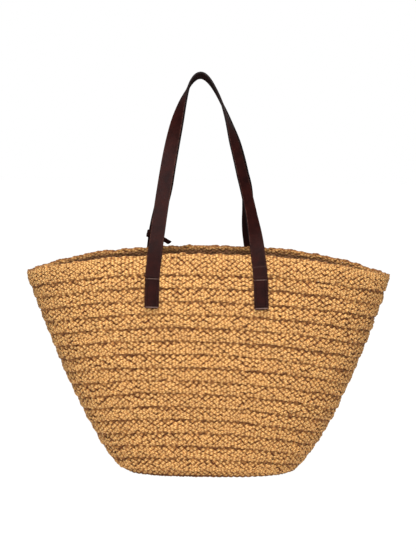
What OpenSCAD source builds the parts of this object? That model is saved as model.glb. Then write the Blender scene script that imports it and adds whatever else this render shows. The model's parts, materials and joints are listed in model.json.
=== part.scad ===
// Market-basket beach bag: a plait of natural fibre sewn round and round into
// an oval base and a flared wall, with two long leather shoulder straps.
// +X is the bag's width, the front faces -Y, +Z is up, and the origin is the
// middle of the base on the surface the bag stands on.

/* [Bag] */
// Half width of the bag at the base
base_half_w = 117; // [100:1:130]
// Half depth of the bag at the base
base_half_d = 58; // [50:1:66]
// Half width of the bag at the two corners of the mouth
mouth_half_w = 271; // [240:1:290]
// Half depth of the mouth
mouth_half_d = 78; // [72:1:84]
// Height of the rim at the middle of the front and the rear
rim_h = 335; // [325:1:345]
// How far the corners of the rim hang below its middle
rim_drop = 35; // [20:1:40]
// How far the lower courses sag towards the corners
course_drop = 24; // [10:1:28]
// How far the courses slope down to the right, as a wound plait does
wind_slope = 7; // [0:0.5:8]

/* [Plait] */
// Number of courses of plait in the wall
courses = 16; // [16:1:16]
// Thickness of the plait
plait_t = 3; // [2.5:0.1:3.5]
// Height of the top course, which shows the whole width of the plait
plait_w = 31; // [28:0.5:34]
// Length of each course that is tucked behind the course above
lap = 10; // [4:0.5:11]
// Height of the turned edge between the base and the lowest course
edge_h = 10; // [8:0.5:12]
// Thickness of the base rounds
base_t = 5.5; // [4:0.5:7]

/* [Straps] */
// Width of the leather strap
strap_w = 21; // [18:0.5:24]
// Thickness of the leather strap
strap_t = 3; // [2.5:0.1:3.2]
// Height of the middle of the strap at its top
strap_top = 592.6; // [580:0.2:610]
// How far the straps' top hangs off the middle
strap_lean = -14.4; // [-16:0.2:-8]
// Distance across from the straps' top to their left feet
reach_left = 66.2; // [62:0.2:70]
// Distance across from the straps' top to their right feet
reach_right = 89.5; // [84:0.5:92]
// How far the front edge of a strap tips up at the top, degrees
top_tip = 25; // [0:1:35]
// How far the feet of the rear strap stand to one side of the front ones
rear_shift = -8; // [-9:1:4]
// Height of the sewn end of each strap
tab_h = 48; // [44:1:50]
// Width of each inner backing patch
patch_w = 21; // [18:1:24]
// Thickness of each inner backing patch
patch_t = 1.6; // [1.2:0.1:2]

/* [Stitching] */
// Length of one stitch
stitch_l = 3; // [2.5:0.1:3.2]
// Distance from one stitch to the next
stitch_pitch = 4; // [4:0.1:5]
// Thickness of the thread
thread_t = 0.8; // [0.6:0.1:1]
// Distance of the stitching from the leather's edge
stitch_in = 3.4; // [2.8:0.1:4]

/* [Lace] */
// Height of the lace wrapped round the rear strap's left foot
lace_h = 15; // [10:0.5:16]
// Thickness of the lace
lace_t = 1.6; // [1.2:0.1:2]
// Length of the lace's loose end beside the strap
lace_tail = 12; // [8:1:20]

/* [Hidden] */
jute = [0.80, 0.60, 0.37];
jute_low = [0.75, 0.55, 0.33];
leather = [0.20, 0.11, 0.09];
suede = [0.30, 0.19, 0.15];
thread = [0.12, 0.08, 0.07];

seg = 44;                                 // points round one course
gap = 0.5;                                // room between lapped courses
rise = (rim_h - plait_w - edge_h) / (courses - 1); // height from course to course
step_in = plait_t + gap;                  // how far a course leans in over one rise
fold_z = 303;                             // line where the free strap leaves its sewn end
fold_y = 82.6;                            // distance of that line from the middle plane
patch_y = 14.6;                           // depth of a backing patch behind its sewn end's outer face
tab_tilt = 2;                             // the sewn ends lean with the wall, degrees

function sgn(v) = v < 0 ? -1 : 1;
// Outline exponent: a full oval at the base, a slimmer one at the mouth
function full(L) = 3 - 0.6 * L / rim_h;
function sag(L) = course_drop * (1 - exp(-L / 60)) + (rim_drop - course_drop) * pow(L / rim_h, 12);
function slope(L) = wind_slope * sin(180 * pow(min(1, L / rim_h), 0.7));
function half_w(L) = base_half_w + (mouth_half_w - base_half_w) * pow(max(0, L - sag(L)) / (rim_h - rim_drop), 0.66);
function half_d(L) = base_half_d + (mouth_half_d - base_half_d) * pow(L / rim_h, 0.6);
// A point of the wall: level L at the middle of the front, angle f, offset r outwards
function wall_pt(L, f, r) = let (e = 2 / full(L), c = sgn(cos(f)) * pow(abs(cos(f)), e), s = sgn(sin(f)) * pow(abs(sin(f)), e))
  [(half_w(L) + r) * c, (half_d(L) + r) * s, L - sag(L) * pow(abs(c), 2.4) - slope(L) * c];

// Four corners as two triangles
function tri(a, b, c, d) = [[a, b, c], [a, c, d]];

// A closed ring swept from a list of [level, offset] corners
module ring(corners) {
  n = len(corners);
  pts = [for (i = [0:seg - 1]) for (c = corners) wall_pt(c[0], i * 360 / seg, c[1])];
  polyhedron(points = pts, faces = [for (i = [0:seg - 1]) for (j = [0:n - 1])
    for (t = tri(i * n + j, ((i + 1) % seg) * n + j, ((i + 1) % seg) * n + (j + 1) % n, i * n + (j + 1) % n)) t], convexity = 10);
}

// One course of plait. Its lower edge stands out over the course below, and
// its upper edge is tucked in behind the course above.
module course(k) {
  lo = edge_h + (k - 1) * rise;
  mid = lo + rise;
  hi = mid + lap;
  out = plait_t;
  in_hi = -step_in * (1 + lap / rise);
  ring([[lo, 0], [lo, out], [mid, out - step_in], [hi, out + in_hi], [hi, in_hi], [mid, -step_in]]);
}
// The turned edge, where the last round of the base stands up to start the wall
module turned_edge() {
  out = -gap;
  hi = edge_h + 0.8 * lap;
  in_hi = step_in * 0.8 * lap / rise + 0.8;
  ring([[0, -1.2 - plait_t], [0, -1.2], [edge_h, out], [hi, out - in_hi], [hi, out - plait_t - in_hi], [edge_h, out - plait_t]]);
}
module top_course() {
  lo = rim_h - plait_w;
  mid = lo + plait_w * 0.6;
  lean = step_in * plait_w / rise * 0.5;
  ring([[lo, 0], [lo, plait_t], [mid, plait_t - lean * 0.6], [rim_h, plait_t - lean], [rim_h, -lean], [mid, -lean * 0.6]]);
}
module oval(a, b) {
  e = 2 / 3;
  polygon([for (i = [0:seg - 1]) [a * sgn(cos(i * 360 / seg)) * pow(abs(cos(i * 360 / seg)), e),
                                  b * sgn(sin(i * 360 / seg)) * pow(abs(sin(i * 360 / seg)), e)]]);
}
// One round of the flat base, from distance d0 to distance d1 of the core line
module base_round(d0, d1) {
  color(jute_low) linear_extrude(height = base_t) difference() {
    oval(base_half_w - base_half_d + d1, d1);
    if (d0 > 0) oval(base_half_w - base_half_d + d0, d0);
  }
}

// The straps: an arch that stands on its two feet and leans in over the mouth.
// Its width turns from face-on at the feet to edge-on near the top, where the
// leather tips a little further. The left leg turns later than the right one.
steps = 26;
function way(i) = pow(abs(i) / steps, 0.75);
function strap_z(q) = strap_top - (strap_top - fold_z - 0.65) * q * q;
function lean_in(z) = let (m = z - rim_h - 7) (m + sqrt(m * m + 144)) / 2;
function strap_y(z) = -81 + (81 - 11.6) / (strap_top - rim_h - 7) * lean_in(z);
function leg_x(s, q) = strap_lean + (s < 0 ? -reach_left * pow(q, 0.92)
                                           : reach_right * pow(q, 1.1) + 2.4 * sin(180 * min(1, max(0, (q * q - 0.5) * 2))));
function foot_shift(s) = s < 0 ? rear_shift : 0.75 * rear_shift;
function ease(q) = let (u = min(1, max(0, (q - 0.74) / 0.18))) u * u * (3 - 2 * u);
function side(s, q, k) = k * (foot_shift(s) * ease(q) + (s < 0 ? -0.5 : 5) * (1 - ease(q)) * sin(180 * q * q));
function strap_c(i, k) = let (s = sgn(i), q = way(i), z = strap_z(q)) [leg_x(s, q) + side(s, q, k), strap_y(z), z];
function turn(s, q) = -lookup(q, s < 0
  ? [[0, 90 + top_tip], [0.26, 90], [0.38, 62], [0.5, 32], [0.66, 8], [0.8, 0], [1, 0]]
  : [[0, 90 + top_tip], [0.37, 92], [0.49, 74], [0.58, 54], [0.7, 48], [0.84, 38], [0.92, 8], [0.96, 0], [1, 0]]);
function unit(v) = v / norm(v);
function strap_ring(i, k) = let (
    t = unit(strap_c(min(steps, i + 1), k) - strap_c(max(-steps, i - 1), k)),
    b = unit([0, 1, 0] - t * t[1]),
    m = cross(b, t),
    a = turn(sgn(i), way(i)),
    w = m * cos(a) + b * sin(a),
    n = cross(w, t),
    c = strap_c(i, k), h = strap_w / 2, u = strap_t / 2)
  abs(i) == steps
    ? let (wx = [i < 0 ? 1 : -1, 0, 0]) [c - wx * h - [0, u, 0], c + wx * h - [0, u, 0], c + wx * h + [0, u, 0], c - wx * h + [0, u, 0]]
    : [c - w * h + n * u, c + w * h + n * u, c + w * h - n * u, c - w * h - n * u];
module strap_body(k) {
  n = 2 * steps + 1;
  pts = [for (i = [-steps:steps]) for (p = strap_ring(i, k)) p];
  polyhedron(points = pts, faces = concat(
    [[3, 2, 1, 0]], [[for (j = [0:3]) (n - 1) * 4 + j]],
    [for (i = [0:n - 2]) for (j = [0:3]) for (t = tri(i * 4 + j, i * 4 + (j + 1) % 4, (i + 1) * 4 + (j + 1) % 4, (i + 1) * 4 + j)) t]), convexity = 10);
}

// Places a piece in a sewn end's own frame: the origin is the middle of the
// fold line on the outer face, +Z runs up the leather and +Y goes into the wall
module at_foot(side_sign, front, shift) {
  mirror([0, front ? 0 : 1, 0])
    translate([leg_x(side_sign, 1) + shift, -fold_y + 0.1, fold_z]) rotate([tab_tilt, 0, 0]) rotate([0, side_sign < 0 ? 1 : -2.9, 0]) children();
}
module tab() {
  color(leather) translate([-strap_w / 2, 0, -tab_h]) cube([strap_w, strap_t, tab_h]);
}
module backing() {
  color(suede) translate([-patch_w / 2, patch_y, -tab_h]) cube([patch_w, patch_t, tab_h - 2]);
}
module stitch_row(n, vertical) {
  for (i = [0:n - 1]) translate(vertical ? [0, 0, (i - (n - 1) / 2) * stitch_pitch] : [(i - (n - 1) / 2) * stitch_pitch, 0, 0])
    cube(vertical ? [thread_t, thread_t, stitch_l] : [stitch_l, thread_t, thread_t], center = true);
}
module stitching() {
  w = strap_w - 2 * stitch_in;
  color(thread) translate([0, -thread_t / 2, 0]) {
    for (s = [-1, 1]) translate([s * w / 2, 0, -tab_h / 2]) stitch_row(10, true);
    for (z = [-stitch_in, -tab_h + stitch_in]) translate([0, 0, z]) stitch_row(3, false);
  }
}
// The lace lies round the rear strap's left foot, just above the rim
lace_i = -23;
module lace() {
  c = strap_c(lace_i, 1);
  d = strap_c(lace_i + 1, 1) - strap_c(lace_i - 1, 1);
  iw = strap_w + 1.4;
  it = strap_t + 1.2;
  color(leather) translate([c[0], -c[1], c[2]]) rotate([atan2(d[1], d[2]), 0, 0]) rotate([0, atan2(d[0], d[2]), 0]) {
    translate([0, 0, -lace_h / 2]) linear_extrude(height = lace_h) difference() {
      square([iw + 2 * lace_t, it + 2 * lace_t], center = true);
      square([iw, it], center = true);
    }
    translate([iw / 2, it / 2, -lace_h / 2 - 4]) cube([lace_tail, lace_t, 6]);
  }
}

module strap_lace() lace();
module base_round_1() base_round(0, 18.8);
module base_round_2() base_round(19.2, 38);
module base_round_3() base_round(38.4, base_half_d - plait_t - 1.6);
module base_edge() color(jute_low) turned_edge();
module course_n(k) color(k < 4 ? jute_low : jute) course(k);
module rim_course() color(jute) top_course();
module front_strap() color(leather) strap_body(0);
module rear_strap() color(leather) mirror([0, 1, 0]) strap_body(1);
module front_left_tab() at_foot(-1, true, 0) tab();
module front_right_tab() at_foot(1, true, 0) tab();
module rear_left_tab() at_foot(-1, false, foot_shift(-1)) tab();
module rear_right_tab() at_foot(1, false, foot_shift(1)) tab();
module front_left_backing() at_foot(-1, true, 0) backing();
module front_right_backing() at_foot(1, true, 0) backing();
module rear_left_backing() at_foot(-1, false, foot_shift(-1)) backing();
module rear_right_backing() at_foot(1, false, foot_shift(1)) backing();
module front_left_stitching() at_foot(-1, true, 0) stitching();
module front_right_stitching() at_foot(1, true, 0) stitching();
module rear_left_stitching() at_foot(-1, false, foot_shift(-1)) stitching();
module rear_right_stitching() at_foot(1, false, foot_shift(1)) stitching();

base_round_1();
base_round_2();
base_round_3();
base_edge();
course_n(1);  // course_01
course_n(2);  // course_02
course_n(3);  // course_03
course_n(4);  // course_04
course_n(5);  // course_05
course_n(6);  // course_06
course_n(7);  // course_07
course_n(8);  // course_08
course_n(9);  // course_09
course_n(10);  // course_10
course_n(11);  // course_11
course_n(12);  // course_12
course_n(13);  // course_13
course_n(14);  // course_14
course_n(15);  // course_15
rim_course();
front_left_tab();
front_right_tab();
rear_left_tab();
rear_right_tab();
front_left_backing();
front_right_backing();
rear_left_backing();
rear_right_backing();
front_left_stitching();
front_right_stitching();
rear_left_stitching();
rear_right_stitching();
front_strap();
rear_strap();
strap_lace();
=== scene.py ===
import bpy
import json
import math
import numpy as np
from mathutils import Vector, Matrix


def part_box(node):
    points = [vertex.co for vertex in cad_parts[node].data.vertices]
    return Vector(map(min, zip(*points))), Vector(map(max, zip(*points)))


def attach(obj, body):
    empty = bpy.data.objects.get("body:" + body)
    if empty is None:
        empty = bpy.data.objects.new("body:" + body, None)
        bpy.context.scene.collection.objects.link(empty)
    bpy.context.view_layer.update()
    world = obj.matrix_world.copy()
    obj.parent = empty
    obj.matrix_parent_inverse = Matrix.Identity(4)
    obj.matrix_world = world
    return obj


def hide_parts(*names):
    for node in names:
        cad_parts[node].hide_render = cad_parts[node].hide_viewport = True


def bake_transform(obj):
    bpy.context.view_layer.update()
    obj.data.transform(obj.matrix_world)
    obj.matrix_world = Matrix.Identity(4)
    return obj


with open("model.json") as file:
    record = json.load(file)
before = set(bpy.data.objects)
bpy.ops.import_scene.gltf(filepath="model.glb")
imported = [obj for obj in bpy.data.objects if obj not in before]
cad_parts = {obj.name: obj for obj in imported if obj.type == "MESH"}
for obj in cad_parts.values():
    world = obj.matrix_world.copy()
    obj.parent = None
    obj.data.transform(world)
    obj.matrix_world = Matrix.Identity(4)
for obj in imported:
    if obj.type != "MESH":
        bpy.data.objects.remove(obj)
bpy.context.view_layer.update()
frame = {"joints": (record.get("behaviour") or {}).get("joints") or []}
MM = 0.001
rng = np.random.default_rng(7)

# ---------------------------------------------------------------- dimensions
rim_lo, rim_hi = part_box("rim_course")
edge_lo, edge_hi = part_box("base_edge")
base3_lo, base3_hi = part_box("base_round_3")
fold_front = next(j for j in frame["joints"] if j["name"] == "front_strap_fold")
FOLD_Z = 303.0
FOLD_Y = 82.6
RIM_H = round(rim_hi.z / MM)                 # 335
BASE_HW, BASE_HD = 117.0, 58.0
MOUTH_HW, MOUTH_HD = 271.0, 78.0
RIM_DROP, COURSE_DROP, WIND = 35.0, 24.0, 7.0
PLAIT_W, LAP, EDGE_H, T = 31.0, 10.0, 10.0, 3.0
COURSES = 16
RISE = (RIM_H - PLAIT_W - EDGE_H) / (COURSES - 1)
STEP_IN = T + 0.5


def full(L):
    return 3 - 0.6 * L / RIM_H


def sag(L):
    return COURSE_DROP * (1 - np.exp(-L / 60)) + (RIM_DROP - COURSE_DROP) * (np.maximum(L, 0) / RIM_H) ** 12


def slope(L):
    return WIND * np.sin(np.pi * np.clip(L / RIM_H, 0, 1) ** 0.7)


def half_w(L):
    return BASE_HW + (MOUTH_HW - BASE_HW) * (np.maximum(0, L - sag(L)) / (RIM_H - RIM_DROP)) ** 0.66


def half_d(L):
    return BASE_HD + (MOUTH_HD - BASE_HD) * (np.maximum(0, L) / RIM_H) ** 0.6


def wall(L, f, r):
    """Point of the wall in mm: level L, angle f, offset r outwards."""
    e = 2 / full(L)
    c = np.sign(np.cos(f)) * np.abs(np.cos(f)) ** e
    s = np.sign(np.sin(f)) * np.abs(np.sin(f)) ** e
    return np.stack([(half_w(L) + r) * c, (half_d(L) + r) * s,
                     L - sag(L) * np.abs(c) ** 2.4 - slope(L) * c], -1)


# slow waviness that neighbouring courses share, and a little of each course's own
_wave = [(n, rng.uniform(0, 6.28), rng.uniform(0.004, 0.02), a) for n, a in
         ((3, 0.5), (5, 0.45), (8, 0.35), (13, 0.3), (19, 0.25), (29, 0.2))]


def wave(f, L, seed=0.0):
    return sum(a * np.sin(n * f + p + 6.28 * q * L + seed * (1.7 + n)) for n, p, q, a in _wave)


# ---------------------------------------------------------------- mesh helpers
def corner_attribute(ob, name, values):
    at = ob.data.attributes.new(name, "FLOAT_VECTOR", "CORNER")
    at.data.foreach_set("vector", np.asarray(values, np.float32).ravel())


class Soup:
    """Tubes and strips gathered into one mesh, with a (along, around, tone) value on each face corner,
    and a second value that is 1 along the top of the mouth of the bag, where the material paints light over the
    inside's painted shade."""

    def __init__(self):
        self.v, self.f, self.a, self.lit, self.n = [], [], [], [], 0

    def tube(self, rings, along, tone, closed, lit=None):
        """rings: (R, A, 3). Closed joins the last ring to the first; otherwise both ends are capped."""
        R, A = rings.shape[:2]
        base = self.n
        self.v.append(rings.reshape(-1, 3))
        self.n += R * A
        i = np.arange(R if closed else R - 1)
        j = np.arange(A)
        I, J = np.meshgrid(i, j, indexing="ij")
        I2, J2 = (I + 1) % R, (J + 1) % A
        quad = np.stack([I * A + J, I * A + J2, I2 * A + J2, I2 * A + J], -1).reshape(-1, 4) + base
        self.f.append(quad)
        al = np.concatenate([along, [along[-1] + (along[-1] - along[-2])]])
        tn = np.concatenate([tone, [tone[0] if closed else tone[-1]]])
        a0, a1 = al[I], al[I + 1]
        t0, t1 = tn[I], tn[I + 1]
        w0, w1 = J / A, (J + 1) / A
        c = np.stack([np.stack([a0, w0, t0], -1), np.stack([a0, w1, t0], -1),
                      np.stack([a1, w1, t1], -1), np.stack([a1, w0, t1], -1)], -2)
        self.a.append(c.reshape(-1, 3))
        li = np.zeros(R + 1) if lit is None else np.concatenate([lit, [lit[0] if closed else lit[-1]]])
        self.lit.append(np.stack([li[I], li[I], li[I + 1], li[I + 1]], -1).reshape(-1))
        if not closed:
            for end, flip in ((0, True), (R - 1, False)):
                ctr = rings[end].mean(0)
                self.v.append(ctr[None])
                ci = self.n
                self.n += 1
                jj = np.arange(A)
                a, b = base + end * A + jj, base + end * A + (jj + 1) % A
                cc = np.full(A, ci)
                q = np.stack([cc, b, a, cc] if flip else [cc, a, b, cc], -1)
                self.f.append(q)
                self.a.append(np.tile([[al[end], 0, tn[end]]], (A * 4, 1)))
                self.lit.append(np.zeros(A * 4))

    def build(self, name):
        v = np.concatenate(self.v) * MM
        f = np.concatenate(self.f)
        a = np.concatenate(self.a)
        tri = f[:, 0] == f[:, 3]
        me = bpy.data.meshes.new(name)
        me.vertices.add(len(v))
        me.vertices.foreach_set("co", v.astype(np.float32).ravel())
        sizes = np.where(tri, 3, 4)
        keep = np.ones(f.shape, bool)
        keep[tri, 3] = False
        idx = f[keep]
        me.loops.add(len(idx))
        me.loops.foreach_set("vertex_index", idx.astype(np.int32))
        me.polygons.add(len(f))
        starts = np.concatenate([[0], np.cumsum(sizes)[:-1]]).astype(np.int32)
        me.polygons.foreach_set("loop_start", starts)
        me.polygons.foreach_set("use_smooth", np.ones(len(f), bool))
        me.update(calc_edges=True)
        ob = bpy.data.objects.new(name, me)
        bpy.context.collection.objects.link(ob)
        corner_attribute(ob, "strand", a.reshape(len(f), 4, 3)[keep])
        lit = np.concatenate(self.lit).reshape(len(f), 4)[keep]
        corner_attribute(ob, "mouth", np.stack([lit, lit * 0, lit * 0], -1))
        return ob


def unit(v):
    return v / np.maximum(np.linalg.norm(v, axis=-1, keepdims=True), 1e-9)


# ---------------------------------------------------------------- the plait
SPACING = 9.3          # mm from one strand to the next along the plait
KAPPA = 0.72
STRAND_A = 2.35        # half width of a strand
STRAND_B = 1.3        # half thickness
CROSS = 1.45           # how far a strand rises and dips where it crosses another
# A strand is a flat bundle of two yarns. Each row is (across, up) in half widths and half thicknesses.
BUNDLE = np.array([(1.0, -0.1), (0.82, 0.66), (0.44, 1.0), (0.0, 0.52), (-0.44, 1.0), (-0.82, 0.66), (-1.0, -0.1),
                   (-0.5, -0.92), (0.5, -0.92)])


def smooth_noise(n, count, amp, r):
    """Periodic smooth noise of n samples with about count bumps."""
    x = np.arange(n) / n * 2 * np.pi
    y = np.zeros(n)
    ks = np.unique(np.maximum(1, (np.array([0.35, 0.6, 1.0, 1.5]) * count).astype(int)))
    for k in ks:
        y += np.sin(k * x + r.uniform(0, 6.28)) * r.uniform(0.6, 1.0)
    return amp * y / math.sqrt(len(ks) / 2)


def even_angles(surf, width, M):
    """Angles that space the middle line of the plait evenly, from the rear middle round to it again."""
    f = np.linspace(0, 2 * np.pi, 4 * M + 1) + np.pi / 2
    mid = surf(f[:, None], np.full((len(f), 1), width / 2))[:, 0]
    s = np.concatenate([[0], np.cumsum(np.linalg.norm(np.diff(mid, axis=0), axis=1))])
    return np.interp(np.arange(M) / M * s[-1], s, f), s[-1]


def plait(soup, surf, width, seed, strands=11, amp=1.0, scale=1.0, core=True, tuck=None, mouth=False):
    """Weaves one closed turn of flat plait, over one and under one, onto a surface.
    surf(f, u) gives the middle surface in mm for arrays of angle f and height u across the plait (0 to width)."""
    r = np.random.default_rng(seed)
    M, U = 720, 15
    f, length = even_angles(surf, width, M)
    u = np.linspace(0, width, U)
    F, UU = np.meshgrid(f, u, indexing="ij")
    G = surf(F, UU)
    dF = np.roll(G, -2, 0) - np.roll(G, 2, 0)
    dU = np.gradient(G, axis=1)
    N = unit(np.cross(dF, dU))
    turns = max(2, round(length / (SPACING * strands * scale)))
    per = 7 * strands
    R = turns * per
    s = np.arange(R) / R * length
    fi = s / length * M
    half = width / 2 - STRAND_A * scale * 0.90
    drift = r.uniform(0, 1)

    def look(i_f, uu):
        a = np.mod(i_f, M)
        i0 = np.floor(a).astype(int) % M
        i1 = (i0 + 1) % M
        wa = (a - np.floor(a))[:, None]
        b_ = np.clip(uu / width * (U - 1), 0, U - 1)
        j0 = np.clip(np.floor(b_).astype(int), 0, U - 2)
        wb = (b_ - j0)[:, None]

        def at(X):
            return ((X[i0, j0] * (1 - wa) + X[i1, j0] * wa) * (1 - wb)
                    + (X[i0, j0 + 1] * (1 - wa) + X[i1, j0 + 1] * wa) * wb)
        return at(G), unit(at(N))

    pace = smooth_noise(R, turns * 0.6, 0.10 * amp, r)      # the plait was pulled tighter in places
    for k in range(strands):
        true = 2 * np.pi * (s / length * turns + (k + drift) / strands) + pace
        phase = true + smooth_noise(R, turns * 3.0, 0.035 * amp, r)
        lat = np.arcsin(KAPPA * np.cos(phase)) / math.asin(KAPPA)
        lat = lat * half * (1 + smooth_noise(R, turns * 3.2, 0.03 * amp, r))
        uu = np.clip(width / 2 + lat + smooth_noise(R, turns * 2.0, 0.22 * amp, r), 0.3, width - 0.3)
        over = np.cos(strands * true) * np.tanh(0.83 * strands * np.sin(true))
        h = CROSS * scale * over * (1 + smooth_noise(R, turns * 3.0, 0.14 * amp, r))
        p, n = look(fi + smooth_noise(R, turns * 3.0, 0.30 * amp, r) * (M / length), uu)
        p = p + n * h[:, None]
        t = unit(np.roll(p, -1, 0) - np.roll(p, 1, 0))
        side = unit(np.cross(n, t))
        n2 = np.cross(t, side)
        fat = STRAND_A * scale * (1 + smooth_noise(R, turns * 2.6, 0.08 * amp, r))
        thin = STRAND_B * scale * (1 + smooth_noise(R, turns * 4.0, 0.10 * amp, r))
        fat = fat * (1 - 0.16 * np.maximum(0, -over))
        # the bundle rolls a little about its own line
        roll_ = smooth_noise(R, turns * 3.0, 0.17 * amp, r)
        cr, sr = np.cos(roll_)[:, None, None], np.sin(roll_)[:, None, None]
        slide = smooth_noise(R, turns * 2.1, 0.12, r)[:, None]
        bx = BUNDLE[:, 0][None] + slide * (1 - BUNDLE[:, 0][None] ** 2)
        ox = (fat[:, None] * bx)[..., None]
        oy = (thin[:, None] * BUNDLE[:, 1])[..., None]
        rings = p[:, None] + side[:, None] * (ox * cr - oy * sr) + n2[:, None] * (ox * sr + oy * cr)
        along = s * 1.3 + r.uniform(0, 4000)
        depth = np.clip(0.5 + 0.5 * over, 0, 1)
        # painted shadow: strands are darkened in the groove where they tuck under the lower edge of the course above
        if tuck is not None:
            shade = np.clip((tuck + 0.2 + smooth_noise(R, turns * 1.5, 0.45, r) - uu) / 2.5, 0.46, 1)
            depth = depth * shade
        # the fraction of tone carries this depth to the material, which paints shade where a strand dives and a
        # highlight where it rides over
        tone = np.floor(r.uniform(0, 900)) + 0.04 + 0.92 * depth
        # lit marks the top of the rim course, where the material paints light in place of the inside's painted shade
        lit = np.clip((uu / width - 0.72) / 0.12, 0, 1) if mouth else np.zeros(R)
        soup.tube(rings, along, tone, True, lit)
    if core:
        # loose fibre fills the plait's middle
        Rc = turns * strands * 2
        fc = np.arange(Rc) / Rc * M
        inset = (3.4 if strands > 5 else 1.0) * scale
        edges = []
        for uu, off in ((inset, -0.25), (inset, 0.25), (width / 2, 0.25), (width - inset, 0.25), (width - inset, -0.25),
                        (width / 2, -0.25)):
            p, n = look(fc, np.full(Rc, uu))
            edges.append(p + n * off)
        rings = np.stack(edges, 1)
        # its tone fraction of 0.04 gives the hidden core the material's deepest painted shade
        soup.tube(rings, np.arange(Rc) / Rc * length, np.full(Rc, 950.04), True)
    return length


def course_surface(k):
    """Middle surface of wall course k (0 is the turned edge, 16 the rim)."""
    seed = 0.37 * k

    def surf(f, u):
        w = WIDTHS[k]
        if k == 0:
            L = 3.5 + u / w * (EDGE_H + 0.8 * LAP - 3.5)
            r = -1.4 - T / 2 + np.minimum(L / EDGE_H, 1) * 0.7 - np.maximum(L - EDGE_H, 0) * (STEP_IN + 2.0) / RISE
            crown = 0.4
        elif k == COURSES:
            L = RIM_H - PLAIT_W + u / w * PLAIT_W
            r = T / 2 - (u / w * PLAIT_W) * STEP_IN / RISE * 0.5
            crown = 0.8
        else:
            L = EDGE_H + (k - 1) * RISE + u / w * (RISE + LAP)
            r = T / 2 - (u / w * (RISE + LAP)) * STEP_IN / RISE
            crown = 1.5
        v = 2 * u / w - 1
        r = r + crown * (1 - v * v) - 1.3 * np.maximum(0, 1 - u / 5.0) ** 2
        fade = np.clip((L - 4) / 30, 0, 1)
        wob = wave(f, L) * 0.75 + wave(f, 11.0 * k, seed) * 0.55
        P = wall(L, f, r - 1.0 + fade * 0.45 * wave(f, L + 500))
        P[..., 2] += fade * wob
        return P
    return surf


WIDTHS = {0: 18.0, COURSES: PLAIT_W}
for k in range(1, COURSES):
    WIDTHS[k] = RISE + LAP

plaits = []
jute_objects = []
for k in range(0, COURSES + 1):
    soup = Soup()
    if k == 0:
        plait(soup, course_surface(k), WIDTHS[k], 100 + k, strands=5, scale=0.92)
        node = "base_edge"
    else:
        plait(soup, course_surface(k), WIDTHS[k], 100 + k, amp=1.9, tuck=RISE if k < COURSES else 60.0, mouth=k == COURSES)
        node = "rim_course" if k == COURSES else "course_%02d" % k
    ob = soup.build("plait_" + node)
    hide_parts(node)
    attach(ob, "root")
    jute_objects.append(ob)


def base_surface(d0, d1, lift):
    def surf(f, u):
        w = d1 - d0
        d = np.maximum(d0 + u / (w) * w, 0.4)
        e = 2 / 3
        c = np.sign(np.cos(f)) * np.abs(np.cos(f)) ** e
        s = np.sign(np.sin(f)) * np.abs(np.sin(f)) ** e
        a = BASE_HW - BASE_HD + d + 4.4 * np.clip((d - 36.4) / 21, 0, 1) ** 2
        # u runs outwards; the underside is the outside of the bag
        z = 2.55 + 0.0 * d
        return np.stack([a * c, d * s, z + 0 * c], -1)
    return surf


for j, (d0, d1) in enumerate(((-0.9, 19.6), (17.6, 38.4), (36.4, 57.4))):
    soup = Soup()
    plait(soup, base_surface(d0, d1, 0), d1 - d0, 300 + j, strands=5, scale=0.86)
    ob = soup.build("plait_base_round_%d" % (j + 1))
    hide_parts("base_round_%d" % (j + 1))
    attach(ob, "root")
    jute_objects.append(ob)


# ---------------------------------------------------------------- straps
STRAP_W, STRAP_T, STRAP_TOP = 21.0, 3.0, 592.6
STRAP_LEAN, REAR_SHIFT, REACH_LEFT, REACH_RIGHT, TOP_TIP = -14.4, -8.0, 66.2, 89.5, 25.0
TAB_H, TAB_TILT, STEPS = 48.0, math.radians(2), 26
STITCH_IN, STITCH_PITCH = 3.4, 4.0
PATCH_Y, PATCH_T = 14.6, 1.6
TURN_LEFT = ((0, 0.26, 0.38, 0.5, 0.66, 0.8, 1), (90 + TOP_TIP, 90, 62, 32, 8, 0, 0))
TURN_RIGHT = ((0, 0.37, 0.49, 0.58, 0.7, 0.84, 0.92, 0.96, 1), (90 + TOP_TIP, 92, 74, 54, 48, 38, 8, 0, 0))


def lean_in(z):
    m = z - RIM_H - 7
    return (m + math.sqrt(m * m + 144)) / 2


def leg_x(s, q):
    if s < 0:
        return STRAP_LEAN - REACH_LEFT * q ** 0.92
    return STRAP_LEAN + REACH_RIGHT * q ** 1.1 + 2.4 * math.sin(math.pi * min(1, max(0, (q * q - 0.5) * 2)))


def foot_shift(s, k):
    return k * REAR_SHIFT * (1 if s < 0 else 0.75)


def ease(q):
    u = min(1, max(0, (q - 0.74) / 0.18))
    return u * u * (3 - 2 * u)


def strap_centre(i, k):
    """Centre of the strap at step i (-26 the left foot, 26 the right), k 0 for the front strap and 1 for the rear."""
    s = -1 if i < 0 else 1
    q = (abs(i) / STEPS) ** 0.75
    z = STRAP_TOP - (STRAP_TOP - FOLD_Z - 0.65) * q * q
    y = -81 + (81 - 11.6) / (STRAP_TOP - RIM_H - 7) * lean_in(z)
    side = foot_shift(s, k) * ease(q) + k * (-0.5 if s < 0 else 5) * (1 - ease(q)) * math.sin(math.pi * q * q)
    return np.array([leg_x(s, q) + side, y, z])


def strap_turn(i):
    q = (abs(i) / STEPS) ** 0.75
    return -math.radians(float(np.interp(q, *(TURN_LEFT if i < 0 else TURN_RIGHT))))


def foot_matrix(side, shift):
    return (Matrix.Translation((leg_x(side, 1) + shift, -FOLD_Y + 0.1, FOLD_Z))
            @ Matrix.Rotation(TAB_TILT, 4, "X") @ Matrix.Rotation(math.radians(1 if side < 0 else -2.9), 4, "Y"))


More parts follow.
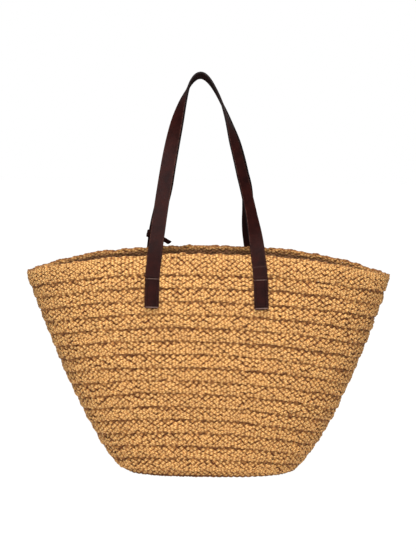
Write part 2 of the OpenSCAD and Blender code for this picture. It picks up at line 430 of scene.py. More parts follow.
def strap_path(k):
    """Centre points and twist angles, from one sewn end's foot to the other's."""
    pts, ang, tag = [], [], []
    left, right = foot_matrix(-1, foot_shift(-1, k)), foot_matrix(1, foot_shift(1, k))
    for z in np.linspace(-TAB_H, -1.5, 24):
        pts.append(np.array(left @ Vector((0, 1.5, z))))
        ang.append(0.0)
    for i in np.arange(-25.5, 25.6, 0.5):
        pts.append(strap_centre(i, k))
        ang.append(strap_turn(i))
    for z in np.linspace(-1.5, -TAB_H, 24):
        pts.append(np.array(right @ Vector((0, 1.5, z))))
        ang.append(0.0)
    return np.array(pts), np.array(ang)


def resample(pts, ang, step_of):
    """Catmull-Rom through the points, then rings at the spacing step_of(fraction of length) gives."""
    P = np.vstack([2 * pts[0] - pts[1], pts, 2 * pts[-1] - pts[-2]])
    out, oa = [], []
    for i in range(1, len(P) - 2):
        for t in np.linspace(0, 1, 12, endpoint=False):
            a, b, c, d = P[i - 1], P[i], P[i + 1], P[i + 2]
            out.append(0.5 * ((2 * b) + (-a + c) * t + (2 * a - 5 * b + 4 * c - d) * t * t
                              + (-a + 3 * b - 3 * c + d) * t ** 3))
            oa.append(ang[i - 1] * (1 - t) + ang[i] * t)
    out.append(P[-2])
    oa.append(ang[-1])
    out, oa = np.array(out), np.array(oa)
    s = np.concatenate([[0], np.cumsum(np.linalg.norm(np.diff(out, axis=0), axis=1))])
    L = s[-1]
    marks = [0.0]
    while marks[-1] < L:
        marks.append(marks[-1] + step_of(marks[-1], L))
    marks = np.array(marks) * L / marks[-1]
    return np.stack([np.interp(marks, s, out[:, j]) for j in range(3)], -1), np.interp(marks, s, oa), marks, L


def strap_section(across=34):
    """Rounded rectangle: (w, n) offsets in mm, running round once."""
    hw, ht, rr = STRAP_W / 2, STRAP_T / 2, 0.95
    pts = []
    for x in np.linspace(-hw + rr, hw - rr, across):
        pts.append((x, ht))
    for a in np.linspace(math.pi / 2, -math.pi / 2, 9)[1:-1]:
        pts.append((hw - rr + rr * math.cos(a), (ht - rr) * np.sign(math.sin(a)) * (abs(math.sin(a)) > 1e-6) + rr * math.sin(a)))
    for x in np.linspace(hw - rr, -hw + rr, 14):
        pts.append((x, -ht))
    for a in np.linspace(-math.pi / 2, -math.pi * 3 / 2, 9)[1:-1]:
        pts.append((-hw + rr + rr * math.cos(a), (ht - rr) * np.sign(math.sin(a)) * (abs(math.sin(a)) > 1e-6) + rr * math.sin(a)))
    return np.array(pts)


def stitch_channel(x, z):
    """Depth in mm of the sewn channel at (x, z) of a sewn end; z is 0 at the fold and negative below."""
    a, top, low = STRAP_W / 2 - STITCH_IN, -STITCH_IN, -TAB_H + STITCH_IN
    inside_z = (z > low - 0.5) & (z < top + 0.5)
    d1 = np.where(inside_z, np.abs(np.abs(x) - a), 9)
    d2 = np.where(np.abs(x) < a + 0.5, np.minimum(np.abs(z - top), np.abs(z - low)), 9)
    d = np.minimum(d1, d2)
    groove = 0.42 * np.exp(-(d / 0.75) ** 2)
    # the leather pillows up a little inside and outside the sewn line
    swell = 0.16 * np.exp(-((d - 1.8) / 1.1) ** 2)
    return groove - swell


def build_strap(k):
    pts, ang = strap_path(k)

    def step_of(s, L):
        e = min(s, L - s)
        return 0.55 if e < TAB_H + 1 else (1.0 if e < TAB_H + 20 else 3.2)

    C, A, S, L = resample(pts, ang, step_of)
    for _ in range(3):                      # the turns run smoothly into each other
        A[1:-1] = 0.25 * A[:-2] + 0.5 * A[1:-1] + 0.25 * A[2:]
    T_ = unit(np.gradient(C, axis=0))
    b = unit(np.array([0, 1.0, 0]) - T_ * T_[:, 1:2])
    m = np.cross(b, T_)
    w = m * np.cos(A)[:, None] + b * np.sin(A)[:, None]
    n = np.cross(w, T_)
    sec = strap_section()
    e = np.minimum(S, L - S)
    r = np.random.default_rng(40 + k)
    R = len(C)
    # a soft long wave in the leather, none on the sewn ends
    free = np.clip((e - TAB_H - 12) / 60, 0, 1)
    bow = free * 0.35 * np.sin(S / 61 + r.uniform(0, 6)) * np.sin(S / 23 + r.uniform(0, 6))
    X = np.tile(sec[:, 0], (R, 1))
    N_ = np.tile(sec[:, 1], (R, 1))
    outer = np.clip(sec[:, 1] / (STRAP_T / 2), 0, 1)[None] ** 3
    z = e - TAB_H
    ch = stitch_channel(X, np.tile(z[:, None], (1, len(sec)))) * outer
    ch = np.where(np.tile(z[:, None], (1, len(sec))) < -0.0, ch, 0)
    # edges of cut leather are pressed in slightly and the corners of a sewn end are rounded off
    N_ = N_ - ch - 0.05 * outer * (np.abs(X) / (STRAP_W / 2)) ** 6 + bow[:, None]
    corner = 2.6
    d = np.clip(corner - e, 0, corner)
    pull = corner - np.sqrt(np.maximum(corner ** 2 - d ** 2, 0))
    X = np.sign(X) * np.minimum(np.abs(X), (STRAP_W / 2 - pull)[:, None])
    P = C[:, None] + w[:, None] * X[..., None] + n[:, None] * N_[..., None]
    if k:
        P = P * np.array([1, -1, 1])
    a = np.arange(R - 1)
    j = np.arange(len(sec))
    I, J = np.meshgrid(a, j, indexing="ij")
    J2 = (J + 1) % len(sec)
    m_ = len(sec)
    quads = np.stack([I * m_ + J, (I + 1) * m_ + J, (I + 1) * m_ + J2, I * m_ + J2], -1).reshape(-1, 4)
    if k:
        quads = quads[:, ::-1]
    ob_verts = P.reshape(-1, 3)
    # end caps: a strip across between the outer and the inner face
    caps = []
    caps_uv = []
    for end in (0, R - 1):
        top = np.arange(0, 34)
        rest = np.arange(m_ - 1, 33, -1)
        # fan the cap from its centre
        centre = len(ob_verts) + len(caps_uv)
        caps_uv.append(P[end].mean(0))
        for q in range(m_):
            f = [centre, end * m_ + q, end * m_ + (q + 1) % m_]
            if (end == 0) == bool(k):
                f = f[::-1]
            caps.append(f)
    verts = np.vstack([ob_verts, np.array(caps_uv)]) * MM
    me = bpy.data.meshes.new("strap")
    faces = [tuple(int(x) for x in q) for q in quads] + [tuple(int(x) for x in c) for c in caps]
    me.from_pydata([tuple(v) for v in verts], [], faces)
    me.polygons.foreach_set("use_smooth", np.ones(len(faces), bool))
    me.update()
    # leather coordinates in mm: along, across, and which side it is
    vals = np.zeros((len(me.vertices), 3), np.float32)
    vals[: R * m_, 0] = np.repeat(S, m_)
    vals[: R * m_, 1] = np.tile(sec[:, 0], R)
    vals[: R * m_, 2] = np.tile(sec[:, 1], R)
    vals[R * m_:, 0] = (0, L)
    li = np.zeros(len(me.loops), np.int32)
    me.loops.foreach_get("vertex_index", li)
    ob = bpy.data.objects.new(("front" if k == 0 else "rear") + "_strap_leather", me)
    bpy.context.collection.objects.link(ob)
    corner_attribute(ob, "hide", vals[li])
    # painted glints: lighter lines along the cross seams on the outer face of each sewn end, and a faint one on a
    # crease above the right end
    painted_glint = np.zeros((len(me.vertices), 3), np.float32)
    zz = np.repeat(z, m_)
    face = np.tile(sec[:, 1] > STRAP_T / 2 - 0.1, R)
    glint_lines = np.exp(-((zz + STITCH_IN + 1.2) / 0.32) ** 2) * 0.42 + np.exp(-((zz + TAB_H - STITCH_IN + 1.5) / 0.42) ** 2) * 0.8
    glint_lines = glint_lines + 0.10 * np.exp(-((zz - 14.5) / 0.5) ** 2) * (np.repeat(S, m_) > L / 2)
    painted_glint[: R * m_, 0] = glint_lines * face * (np.abs(np.tile(sec[:, 0], R)) < 9.2)
    corner_attribute(ob, "painted_glint", painted_glint[li])
    return ob


leather_objects = []
for k, nm in ((0, "front"), (1, "rear")):
    ob = build_strap(k)
    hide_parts(nm + "_strap", nm + "_left_tab", nm + "_right_tab")
    y = (-FOLD_Y if k == 0 else FOLD_Y) * MM
    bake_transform(ob)
    leather_objects.append(ob)



# ---------------------------------------------------------------- thread, patches and lace
def rings_object(name, rings, hide, mirror=False):
    """Rings (R, A, 3) in mm closed by a fan at each end, with leather coordinates on the corners."""
    R, A = rings.shape[:2]
    P = np.vstack([rings.reshape(-1, 3), rings[0].mean(0)[None], rings[-1].mean(0)[None]])
    H = np.vstack([hide.reshape(-1, 3), hide[0].mean(0)[None], hide[-1].mean(0)[None]])
    if mirror:
        P = P * np.array([1, -1, 1])
    faces = []
    for i in range(R - 1):
        for j in range(A):
            j2 = (j + 1) % A
            faces.append([i * A + j, i * A + j2, (i + 1) * A + j2, (i + 1) * A + j])
    for j in range(A):
        faces.append([R * A, (j + 1) % A, j])
        faces.append([R * A + 1, (R - 1) * A + j, (R - 1) * A + (j + 1) % A])
    me = bpy.data.meshes.new(name)
    me.from_pydata([tuple(v) for v in P * MM], [], [tuple(int(x) for x in (f[::-1] if mirror else f)) for f in faces])
    me.polygons.foreach_set("use_smooth", np.ones(len(faces), bool))
    me.update()
    li = np.zeros(len(me.loops), np.int32)
    me.loops.foreach_get("vertex_index", li)
    ob = bpy.data.objects.new(name, me)
    bpy.context.collection.objects.link(ob)
    corner_attribute(ob, "hide", H[li])
    return ob


def matrix_points(M_, P):
    A = np.array(M_)
    return P @ A[:3, :3].T + A[:3, 3]


def stitch_places():
    """Middle (x, z) and direction (1 upright, 0 level) of the 26 stitches round a sewn end."""
    a = STRAP_W / 2 - STITCH_IN
    out = []
    for s_ in (-1, 1):
        out += [(s_ * a, -TAB_H / 2 + (i - 4.5) * STITCH_PITCH, 1) for i in range(10)]
    for z_ in (-STITCH_IN, -TAB_H + STITCH_IN):
        out += [((i - 1) * STITCH_PITCH, z_, 0) for i in range(3)]
    return out


def stitches(soup, M_, mirror, y_face, out, seed):
    """Waxed thread stitches: each rises out of its hole, lies in the channel and dives back in."""
    r = np.random.default_rng(seed)
    for x0, z0, upright in stitch_places():
        n, A = 11, 10
        q = np.linspace(-1, 1, n)
        l_ = q * 1.78
        slant = r.normal(0.0, 0.06) + 0.10
        lift = y_face - out * (0.16 * (1 - q ** 4) - 0.62 * np.abs(q) ** 5 + r.uniform(-0.03, 0.03))
        ctr = np.stack([l_ * slant, lift, l_], -1) if upright else np.stack([l_, lift, -l_ * slant], -1)
        ctr = ctr + np.array([x0, 0, z0])
        t_ = unit(np.gradient(ctr, axis=0))
        e1 = unit(np.cross(t_, np.array([0, 1.0, 0])))
        e2 = np.cross(e1, t_)
        th = np.arange(A) / A * 2 * np.pi
        rad = 0.40 * (1 - 0.28 * np.abs(q) ** 4)
        rings = (ctr[:, None] + e1[:, None] * (rad[:, None] * np.cos(th))[..., None] * 1.12
                 + e2[:, None] * (rad[:, None] * np.sin(th))[..., None] * 0.92)
        rings = matrix_points(M_, rings.reshape(-1, 3)).reshape(n, A, 3)
        if mirror:
            rings = rings[:, ::-1] * np.array([1, -1, 1])
        soup.tube(rings, l_ + r.uniform(0, 300), np.full(n, np.floor(r.uniform(0, 90)) + 0.5), False)


def rounded_outline(w, h, rad, n=6, per=10):
    pts = []
    for cx, cz, a0 in ((w / 2 - rad, h / 2 - rad, 0), (-w / 2 + rad, h / 2 - rad, 90), (-w / 2 + rad, -h / 2 + rad, 180),
                       (w / 2 - rad, -h / 2 + rad, 270)):
        for t in np.linspace(0, 90, n):
            a = math.radians(a0 + t)
            pts.append((cx + rad * math.cos(a), cz + rad * math.sin(a)))
    pts = np.array(pts)
    out = []
    for i in range(len(pts)):
        a, b = pts[i], pts[(i + 1) % len(pts)]
        m_ = max(1, int(np.linalg.norm(b - a) / (w / per)))
        for t in np.arange(m_) / m_:
            out.append(a * (1 - t) + b * t)
    return np.array(out)


thread_objects, patch_objects, lace_objects = [], [], []
for k, nm in ((0, "front"), (1, "rear")):
    for s_, sn in ((-1, "left"), (1, "right")):
        M_ = foot_matrix(s_, foot_shift(s_, k))
        soup = Soup()
        stitches(soup, M_, bool(k), 0.34, 1.0, 500 + 10 * k + s_)
        stitches(soup, M_, bool(k), PATCH_Y + PATCH_T - 0.18, -1.0, 600 + 10 * k + s_)
        ob = soup.build("%s_%s_thread" % (nm, sn))
        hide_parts("%s_%s_stitching" % (nm, sn))
        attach(ob, "root")
        thread_objects.append(ob)
        # the patch inside the wall: cut suede with soft edges that cups a little between its stitches
        w_, h_ = STRAP_W, TAB_H - 2
        outline = rounded_outline(w_, h_, 2.2)
        rings, hide = [], []
        prof = [(t, 1.0) for t in (0.04, 0.2, 0.36, 0.5, 0.6, 0.68, 0.76, 0.84, 0.9, 0.95)]
        prof += [(0.985, 0.86), (1.0, 0.45), (1.0, 0.0), (0.99, -0.6)]
        prof += [(t, -1.0) for t in (0.95, 0.8, 0.5, 0.2, 0.04)]
        for t, h in prof:
            # rings follow the outline inwards, keeping its margin even
            q = outline * t if t < 0.5 else outline * t
            x, z = q[:, 0], q[:, 1]
            zz = z - TAB_H / 2 - 1.0
            a = STRAP_W / 2 - STITCH_IN
            d = np.minimum(np.abs(np.abs(x) - a), 9)
            dent = 0.36 * np.exp(-(d / 0.9) ** 2) * (np.abs(zz + TAB_H / 2) < TAB_H / 2 - 2.5)
            dz = np.minimum(np.abs(zz + STITCH_IN), np.abs(zz + TAB_H - STITCH_IN))
            dent = np.maximum(dent, 0.36 * np.exp(-(dz / 0.9) ** 2) * (np.abs(x) < a))
            y = PATCH_Y + PATCH_T / 2 + h * PATCH_T / 2 - (dent if h > 0.8 else 0)
            y = y + 0 * x
            rings.append(np.stack([x, y, zz], -1))
            hide.append(np.stack([zz + 200 * k + 77 * s_, x * 0.9, y - PATCH_Y - PATCH_T / 2], -1))
        rings, hide = np.array(rings), np.array(hide)
        rings = matrix_points(M_, rings.reshape(-1, 3)).reshape(rings.shape)
        ob = rings_object("%s_%s_patch" % (nm, sn), rings, hide, mirror=bool(k))
        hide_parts("%s_%s_backing" % (nm, sn))
        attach(ob, "root")
        patch_objects.append(ob)


def build_lace():
    """A lace wound twice round the rear strap's left foot, its cut end standing out sideways."""
    i0 = -23
    c = strap_centre(i0, 1)
    t_ = unit(strap_centre(i0 + 1, 1) - strap_centre(i0 - 1, 1))
    b_ = unit(np.array([0, 1.0, 0]) - t_ * t_[1])
    w_ = np.cross(b_, t_)
    n_ = np.cross(w_, t_)
    r = np.random.default_rng(71)
    # path in the strap's own frame: across, outwards, along
    path = []
    iw, it, ra = STRAP_W / 2 + 1.1, STRAP_T / 2 + 1.1, 1.6
    loop = []
    for cx, cy, a0 in ((iw - ra, it - ra, 0), (-iw + ra, it - ra, 90), (-iw + ra, -it + ra, 180), (iw - ra, -it + ra, 270)):
        for t in np.linspace(0, 90, 6):
            a = math.radians(a0 + t)
            loop.append((cx + ra * math.cos(a), cy + ra * math.sin(a)))
    loop = np.array(loop)
    loop = np.vstack([loop, loop[:1]])
    ls = np.concatenate([[0], np.cumsum(np.linalg.norm(np.diff(loop, axis=0), axis=1))])
    turns_ = 2.0
    m_ = 120
    for q in np.linspace(0, turns_, m_):
        x = np.interp((q % 1.0) * ls[-1], ls, loop[:, 0])
        y = np.interp((q % 1.0) * ls[-1], ls, loop[:, 1])
        z = 2.6 - 9.4 * q / turns_ + 0.5 * math.sin(5 * q)
        if x < -8:
            x -= 0.9 * (1 + 0.3 * math.sin(9 * q)) * min(1, (-x - 8) / 2)
        path.append((x, y, z))
    end = path[-1]
    for q in np.linspace(0.08, 1, 16):
        path.append((end[0] + 13.2 * q, end[1] + 1.6 * q + 0.9 * math.sin(3 * q), end[2] - 4.9 * q - 0.8 * q * q))
    path = np.array(path)
    s_ = np.concatenate([[0], np.cumsum(np.linalg.norm(np.diff(path, axis=0), axis=1))])
    n2 = int(s_[-1] / 0.9)
    ss = np.linspace(0, s_[-1], n2)
    path = np.stack([np.interp(ss, s_, path[:, j]) for j in range(3)], -1)
    for _ in range(3):
        path[1:-1] = 0.25 * path[:-2] + 0.5 * path[1:-1] + 0.25 * path[2:]
    tan = unit(np.gradient(path, axis=0))
    up_ = np.array([0, 0, 1.0]) - tan * tan[:, 2:3]
    up_ = unit(up_)
    out_ = np.cross(tan, up_)
    rings, hide = [], []
    A = 16
    th = np.arange(A) / A * 2 * np.pi
    for i in range(n2):
        hw = (3.0 if i < n2 - 14 else 3.5) * (1 + 0.04 * math.sin(i * 0.7))
        ht = 0.78
        e_ = min(i, n2 - 1 - i) * 0.9
        f_ = 1.0 if e_ > 0.8 else 0.82
        sx = np.sign(np.cos(th)) * np.abs(np.cos(th)) ** 0.5 * hw * f_
        sy = np.sign(np.sin(th)) * np.abs(np.sin(th)) ** 0.7 * ht * f_
        # the cut end runs slantwise
        shear = sx * 0.35 if i > n2 - 4 else 0 * sx
        rings.append(path[i] + up_[i] * sx[:, None] + out_[i] * sy[:, None] + tan[i] * shear[:, None])
        hide.append(np.stack([np.full(A, ss[i] + 900), sx * 2.2, sy], -1))
    rings, hide = np.array(rings), np.array(hide)
    F_ = np.stack([w_, n_, t_])
    rings = rings @ F_ + c
    ob = rings_object("strap_lace_wraps", rings, hide, mirror=True)
    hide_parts("strap_lace")
    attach(ob, "rear_strap")
    lace_objects.append(ob)


build_lace()


# ---------------------------------------------------------------- materials
def material(name):
    m = bpy.data.materials.new(name)
    m.use_nodes = True
    nt = m.node_tree
    nt.nodes.clear()
    out = nt.nodes.new("ShaderNodeOutputMaterial")
    b = nt.nodes.new("ShaderNodeBsdfPrincipled")
    nt.links.new(b.outputs[0], out.inputs[0])
    return m, nt, b


class Nodes:
    def __init__(self, nt):
        self.nt = nt

    def new(self, kind, **kw):
        n = self.nt.nodes.new("ShaderNode" + kind)
        for k_, v_ in kw.items():
            setattr(n, k_, v_)
        return n

    def put(self, socket, value):
        if hasattr(value, "is_output") or isinstance(value, bpy.types.NodeSocket):
            self.nt.links.new(value, socket)
        else:
            socket.default_value = value

    def math(self, op, a, b=None, c=None, clamp=False):
        n = self.new("Math", operation=op, use_clamp=clamp)
        self.put(n.inputs[0], a)
        if b is not None:
            self.put(n.inputs[1], b)
        if c is not None:
            self.put(n.inputs[2], c)
        return n.outputs[0]

    def vec(self, x, y, z):
        n = self.new("CombineXYZ")
        self.put(n.inputs[0], x)
        self.put(n.inputs[1], y)
        self.put(n.inputs[2], z)
        return n.outputs[0]

    def noise(self, vector, scale, detail=3.0, rough=0.55, kind="3D", distortion=0.0):
        n = self.new("TexNoise", noise_dimensions=kind)
        self.put(n.inputs["Vector"], vector)
        n.inputs["Scale"].default_value = scale
        n.inputs["Detail"].default_value = detail
        n.inputs["Roughness"].default_value = rough
        n.inputs["Distortion"].default_value = distortion
        return n.outputs["Fac"]

    def remap(self, v, a, b, c=0.0, d=1.0):
        n = self.new("MapRange")
        self.put(n.inputs["Value"], v)
        n.inputs["From Min"].default_value = a
        n.inputs["From Max"].default_value = b
        n.inputs["To Min"].default_value = c
        n.inputs["To Max"].default_value = d
        return n.outputs["Result"]

    def mix(self, fac, a, b, blend="MIX"):
        n = self.new("Mix", data_type="RGBA", blend_type=blend)
        self.put(n.inputs[0], fac)
        self.put(n.inputs[6], a)
        self.put(n.inputs[7], b)
        return n.outputs[2]

    def bump(self, height, strength, distance, normal=None):
        n = self.new("Bump")
        n.inputs["Strength"].default_value = strength
        n.inputs["Distance"].default_value = distance
        self.put(n.inputs["Height"], height)
        if normal is not None:
            self.put(n.inputs["Normal"], normal)
        return n.outputs[0]


def srgb(r, g, b):
    def c(v):
        v /= 255
        return v / 12.92 if v <= 0.04045 else ((v + 0.055) / 1.055) ** 2.4
    return (c(r), c(g), c(b), 1.0)


def jute_material():
    m, nt, b = material("jute_plait")
    N = Nodes(nt)
    at = N.new("Attribute", attribute_name="strand", attribute_type="GEOMETRY")
    sp = N.new("SeparateXYZ")
    nt.links.new(at.outputs["Vector"], sp.inputs[0])
    along, around, tone = sp.outputs
    # the two yarns of a strand have their own colour
    yarn = N.math("GREATER_THAN", around, 1 / 3)
    ident = N.math("ADD", N.math("FLOOR", tone), N.math("MULTIPLY", yarn, 0.41))
    # a strand that dives on the outside of the wall stands out on its inside
    out_depth = N.math("FRACT", tone)
    back = N.math("MULTIPLY", N.remap(around, 0.67, 0.74), N.remap(around, 0.99, 0.93))
    depth = N.math("ADD", N.math("MULTIPLY", out_depth, N.math("SUBTRACT", 1.0, back)),
                   N.math("MULTIPLY", N.math("SUBTRACT", 1.0, out_depth), back))
    turn = N.math("MULTIPLY", N.math("ADD", around, N.math("MULTIPLY", along, 0.006)), 2 * math.pi)
    cx = N.math("COSINE", turn)
    sx = N.math("SINE", turn)
    # fine fibres run along a strand
    fine = N.vec(N.math("MULTIPLY", along, 0.05), N.math("MULTIPLY", cx, 3.4),
                 N.math("ADD", N.math("MULTIPLY", sx, 3.4), N.math("MULTIPLY", ident, 9.1)))
    f1 = N.noise(fine, 2.6, 4.0, 0.62)
    coarse = N.vec(N.math("MULTIPLY", along, 0.03), N.math("MULTIPLY", cx, 1.5),
                   N.math("ADD", N.math("MULTIPLY", sx, 1.5), N.math("MULTIPLY", ident, 5.3)))
    f2 = N.noise(coarse, 1.5, 2.0, 0.5)
    slow = N.noise(N.vec(N.math("MULTIPLY", along, 0.011), N.math("MULTIPLY", ident, 3.7), 0.0), 1.0, 2.0, 0.5)
    fib = N.remap(f1, 0.30, 0.70)
    dark = srgb(116, 64, 22)
    mid = srgb(166, 104, 41)
    light = srgb(252, 190, 108)
    col = N.mix(N.remap(f2, 0.34, 0.62), srgb(132, 77, 28), mid)
    col = N.mix(N.math("MULTIPLY", fib, 0.72), col, light)
    col = N.mix(N.remap(f1, 0.48, 0.31, 0.0, 0.92), col, dark)
    # each strand has its own tint, and it drifts along its length
    tint = N.remap(slow, 0.3, 0.7)
    col = N.mix(tint, N.mix(0.50, col, srgb(186, 126, 62)), col)
    hs = N.new("HueSaturation")
    N.put(hs.inputs["Color"], col)
    N.put(hs.inputs["Value"], N.remap(slow, 0.30, 0.70, 0.74, 1.18))
    N.put(hs.inputs["Hue"], N.remap(f2, 0.3, 0.7, 0.492, 0.506))
    hs.inputs["Saturation"].default_value = 1.0
    # painted shade where a strand dives under its neighbour and in the groove under the course above
    crevice_painted_shade = N.remap(depth, 0.30, 0.94, 0.97, 0.0)
    # painted shade in the hollow between the two yarns and along the strand's edges
    edge = N.remap(N.math("COSINE", N.math("MULTIPLY", N.math("ADD", around, -1 / 3), 2 * math.pi)), 0.46, -0.42, 0.0, 0.84)
    edge = N.math("MULTIPLY", edge, N.math("SUBTRACT", 1.0, N.math("MULTIPLY", back, 0.60)))
    hollow = N.remap(N.math("ABSOLUTE", N.math("ADD", around, -1 / 3)), 0.0, 0.075, 0.66, 0.0)
    crevice_painted_shade = N.math("MAXIMUM", crevice_painted_shade, N.math("MAXIMUM", edge, hollow))
    # painted highlight on the crests where a strand rides over its neighbour
    crest_painted_highlight = N.math("MULTIPLY", N.remap(depth, 0.80, 0.98), N.remap(f1, 0.40, 0.62, 0.15, 1.0))
    col = N.mix(crest_painted_highlight, hs.outputs[0], srgb(255, 213, 140))
    col = N.mix(crevice_painted_shade, col, srgb(88, 43, 9))
    # painted shade on the inside of the wall, lifted along the top of the mouth as painted light where the rim catches
    # the light
    am = N.new("Attribute", attribute_name="mouth", attribute_type="GEOMETRY")
    sm = N.new("SeparateXYZ")
    nt.links.new(am.outputs["Vector"], sm.inputs[0])
    inside_painted_shade = N.math("SUBTRACT", 0.90, N.math("MULTIPLY", sm.outputs[0], 0.80))
    col = N.mix(N.math("MULTIPLY", back, inside_painted_shade), col, srgb(68, 35, 10))
    nt.links.new(col, b.inputs["Base Color"])
    N.put(b.inputs["Roughness"], N.remap(f1, 0.3, 0.7, 0.86, 0.66))
    b.inputs["Specular IOR Level"].default_value = 0.32
    b.inputs["Sheen Weight"].default_value = 0.12
    b.inputs["Sheen Roughness"].default_value = 0.45
    b.inputs["Sheen Tint"].default_value = (1.0, 0.80, 0.52, 1.0)
    h = N.math("ADD", N.math("MULTIPLY", f1, 1.0), N.math("MULTIPLY", f2, 0.7))
    nt.links.new(N.bump(h, 0.85, 0.0011), b.inputs["Normal"])
    return m


def leather_material():
    m, nt, b = material("strap_leather_brown")
    N = Nodes(nt)
    at = N.new("Attribute", attribute_name="hide", attribute_type="GEOMETRY")
    sp = N.new("SeparateXYZ")
    nt.links.new(at.outputs["Vector"], sp.inputs[0])
    along, across, side = sp.outputs
    tc = N.new("TexCoord")
    o = tc.outputs["Object"]
    vo = N.new("TexVoronoi", feature="DISTANCE_TO_EDGE")
    N.put(vo.inputs["Vector"], at.outputs["Vector"])
    vo.inputs["Scale"].default_value = 1.15
    grain = N.remap(vo.outputs["Distance"], 0.0, 0.22)
    cloud = N.noise(at.outputs["Vector"], 0.055, 3.0, 0.55)
    creases = N.noise(N.vec(N.math("MULTIPLY", along, 0.5), N.math("MULTIPLY", across, 0.12), side), 0.9, 3.0, 0.6)
    col = N.mix(N.remap(cloud, 0.3, 0.7), srgb(24, 5, 4), srgb(41, 12, 8))
    col = N.mix(N.remap(grain, 0.0, 1.0, 0.55, 0.0), col, srgb(9, 4, 4))
    # worn lighter along the rims of the faces, dark paint on the cut edges
    rim = N.math("ABSOLUTE", across)
    wear = N.math("MULTIPLY", N.remap(rim, 8.4, 9.8), N.remap(creases, 0.42, 0.62))
    col = N.mix(N.math("MULTIPLY", wear, 0.35), col, srgb(96, 64, 54))
    edge = N.remap(rim, 9.9, 10.3)
    col = N.mix(edge, col, srgb(17, 10, 10))
    # the inner face is darker: painted shade for the shadow under the apex of the straps
    col = N.mix(N.remap(side, -1.0, -1.3, 0.0, 0.42), col, srgb(12, 7, 7))
    # painted glints along the cross seams of the sewn ends, and a faint one on a crease above the right end
    painted_glint = N.new("Attribute", attribute_name="painted_glint", attribute_type="GEOMETRY")
    rs = N.new("SeparateXYZ")
    nt.links.new(painted_glint.outputs["Vector"], rs.inputs[0])
    col = N.mix(N.math("MULTIPLY", rs.outputs[0], N.remap(creases, 0.25, 0.6, 0.45, 0.95)), col, srgb(150, 122, 110))
    nt.links.new(col, b.inputs["Base Color"])
    rough = N.math("ADD", N.remap(cloud, 0.3, 0.7, 0.42, 0.50), N.math("MULTIPLY", N.remap(creases, 0.4, 0.7), 0.08))
    # the raw inner face is dull
    rough = N.math("ADD", rough, N.remap(side, -1.0, -1.3, 0.0, 0.42))
    N.put(b.inputs["Roughness"], rough)
    b.inputs["Specular IOR Level"].default_value = 0.055
    h = N.math("ADD", N.math("MULTIPLY", grain, 0.6), N.math("MULTIPLY", creases, 0.8))
    nt.links.new(N.bump(h, 0.30, 0.00025), b.inputs["Normal"])
    return m


def suede_material():
    m, nt, b = material("patch_suede")
    N = Nodes(nt)
    at = N.new("Attribute", attribute_name="hide", attribute_type="GEOMETRY")
    v = at.outputs["Vector"]
    nap = N.noise(v, 1.6, 5.0, 0.7)
    cloud = N.noise(v, 0.09, 3.0, 0.55)
    col = N.mix(N.remap(cloud, 0.32, 0.68), srgb(78, 50, 38), srgb(104, 70, 53))
    col = N.mix(N.remap(nap, 0.35, 0.65, 0.5, 0.0), col, srgb(50, 30, 22))
    nt.links.new(col, b.inputs["Base Color"])
    N.put(b.inputs["Roughness"], N.remap(nap, 0.3, 0.7, 0.96, 0.82))
    b.inputs["Specular IOR Level"].default_value = 0.2
    b.inputs["Sheen Weight"].default_value = 0.35
    b.inputs["Sheen Roughness"].default_value = 0.5
    b.inputs["Sheen Tint"].default_value = (0.9, 0.7, 0.55, 1.0)
    nt.links.new(N.bump(N.math("ADD", nap, N.math("MULTIPLY", cloud, 0.4)), 0.6, 0.0005), b.inputs["Normal"])
    return m


def thread_material():
    m, nt, b = material("sewing_thread")
    N = Nodes(nt)
    at = N.new("Attribute", attribute_name="strand", attribute_type="GEOMETRY")
    sp = N.new("SeparateXYZ")
    nt.links.new(at.outputs["Vector"], sp.inputs[0])
    along, around, tone = sp.outputs
    # three plies twisted together
    ply = N.math("SINE", N.math("ADD", N.math("MULTIPLY", along, 5.2), N.math("MULTIPLY", around, 6 * math.pi)))
    fuzz = N.noise(N.vec(N.math("MULTIPLY", along, 3.0), N.math("MULTIPLY", around, 4.0), tone), 1.4, 3.0, 0.6)
    col = N.mix(N.remap(ply, -0.9, 0.6), srgb(9, 4, 3), srgb(26, 12, 9))
    col = N.mix(N.remap(fuzz, 0.4, 0.65, 0.0, 0.5), col, srgb(38, 21, 16))
    nt.links.new(col, b.inputs["Base Color"])
    N.put(b.inputs["Roughness"], N.remap(fuzz, 0.3, 0.7, 0.62, 0.42))
    b.inputs["Specular IOR Level"].default_value = 0.12
    nt.links.new(N.bump(N.math("ADD", N.math("MULTIPLY", ply, 0.5), fuzz), 0.5, 0.0002), b.inputs["Normal"])
    return m


JUTE = jute_material()
LEATHER = leather_material()
SUEDE = suede_material()
THREAD = thread_material()
for ob in jute_objects:
    ob.data.materials.append(JUTE)
for ob in leather_objects + lace_objects:
    ob.data.materials.append(LEATHER)
for ob in patch_objects:
    ob.data.materials.append(SUEDE)
for ob in thread_objects:
    ob.data.materials.append(THREAD)

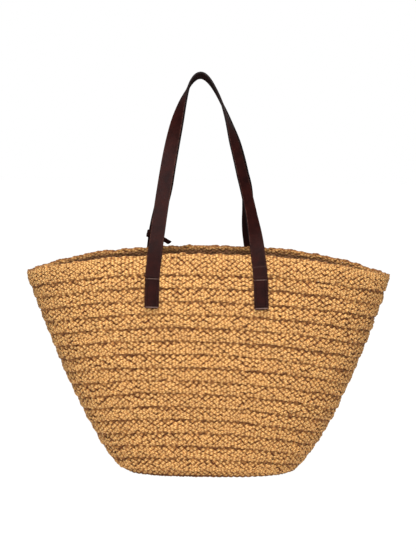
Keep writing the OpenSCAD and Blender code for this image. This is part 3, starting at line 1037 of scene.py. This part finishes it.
# ---------------------------------------------------------------- stage, light, camera
def stage():
    me = bpy.data.meshes.new("floor")
    me.from_pydata([(-12, -12, 0), (12, -12, 0), (12, 12, 0), (-12, 12, 0)], [], [(0, 1, 2, 3)])
    fl = bpy.data.objects.new("floor", me)
    bpy.context.collection.objects.link(fl)
    m, nt, b = material("floor_white")
    b.inputs["Base Color"].default_value = (0.93, 0.93, 0.93, 1)
    b.inputs["Roughness"].default_value = 0.9
    # seen directly the floor is a lit white sweep, for the light it is a plain pale surface
    em = nt.nodes.new("ShaderNodeEmission")
    em.inputs[0].default_value = (1, 1, 1, 1)
    em.inputs[1].default_value = 1.05
    seen = nt.nodes.new("ShaderNodeLightPath")
    part = nt.nodes.new("ShaderNodeMath")
    part.operation = "MULTIPLY"
    part.inputs[1].default_value = 0.97
    nt.links.new(seen.outputs["Is Camera Ray"], part.inputs[0])
    blend_ = nt.nodes.new("ShaderNodeMixShader")
    out_ = next(n for n in nt.nodes if n.type == "OUTPUT_MATERIAL")
    nt.links.new(part.outputs[0], blend_.inputs[0])
    nt.links.new(b.outputs[0], blend_.inputs[1])
    nt.links.new(em.outputs[0], blend_.inputs[2])
    nt.links.new(blend_.outputs[0], out_.inputs[0])
    me.materials.append(m)
    w = bpy.data.worlds.new("studio")
    bpy.context.scene.world = w
    w.use_nodes = True
    nt = w.node_tree
    bg = nt.nodes["Background"]
    bg.inputs[0].default_value = (1, 1, 1, 1)
    bg.inputs[1].default_value = 1.0
    dim = nt.nodes.new("ShaderNodeBackground")
    dim.inputs[0].default_value = (1, 0.985, 0.96, 1)
    dim.inputs[1].default_value = 0.30
    lp = nt.nodes.new("ShaderNodeLightPath")
    mx = nt.nodes.new("ShaderNodeMixShader")
    nt.links.new(lp.outputs["Is Camera Ray"], mx.inputs[0])
    nt.links.new(dim.outputs[0], mx.inputs[1])
    nt.links.new(bg.outputs[0], mx.inputs[2])
    nt.links.new(mx.outputs[0], nt.nodes["World Output"].inputs[0])

    def area(name, loc, target, size, power, tint=(1, 1, 1)):
        ld = bpy.data.lights.new(name, "AREA")
        ld.shape = "RECTANGLE"
        ld.size, ld.size_y = size
        ld.energy = power
        ld.color = tint
        lo = bpy.data.objects.new(name, ld)
        bpy.context.collection.objects.link(lo)
        lo.location = loc
        lo.rotation_euler = (Vector(target) - Vector(loc)).to_track_quat("-Z", "Y").to_euler()

    area("key", (0.01, -1.15, 0.62), (0, 0, 0.30), (0.35, 0.3), 9.6)
    area("top", (-0.06, -0.72, 1.45), (0, 0, 0.3), (0.25, 0.2), 27)
    area("back", (0.0, 1.7, 1.25), (0, 0, 0.2), (1.2, 0.8), 9)


stage()

cam_data = bpy.data.cameras.new("camera")
cam = bpy.data.objects.new("camera", cam_data)
bpy.context.collection.objects.link(cam)
cam_data.sensor_fit = "VERTICAL"
cam_data.sensor_height = 36
cam_data.sensor_width = 36
cam_data.lens = 87.9
cam_data.clip_end = 60
eye = Vector((-0.0005, -2.0, 0.507))
aim = Vector((-0.0005, 0.0, 0.297))
fwd = (aim - eye).normalized()
right = fwd.cross(Vector((0, 0, 1))).normalized()
up = right.cross(fwd)
ro = math.radians(0.7)
r2 = right * math.cos(ro) + up * math.sin(ro)
u2 = -right * math.sin(ro) + up * math.cos(ro)
M = Matrix((r2, u2, -fwd)).transposed().to_4x4()
M.translation = eye
cam.matrix_world = M
bpy.context.scene.camera = cam
bpy.context.scene.view_settings.view_transform = "Standard"
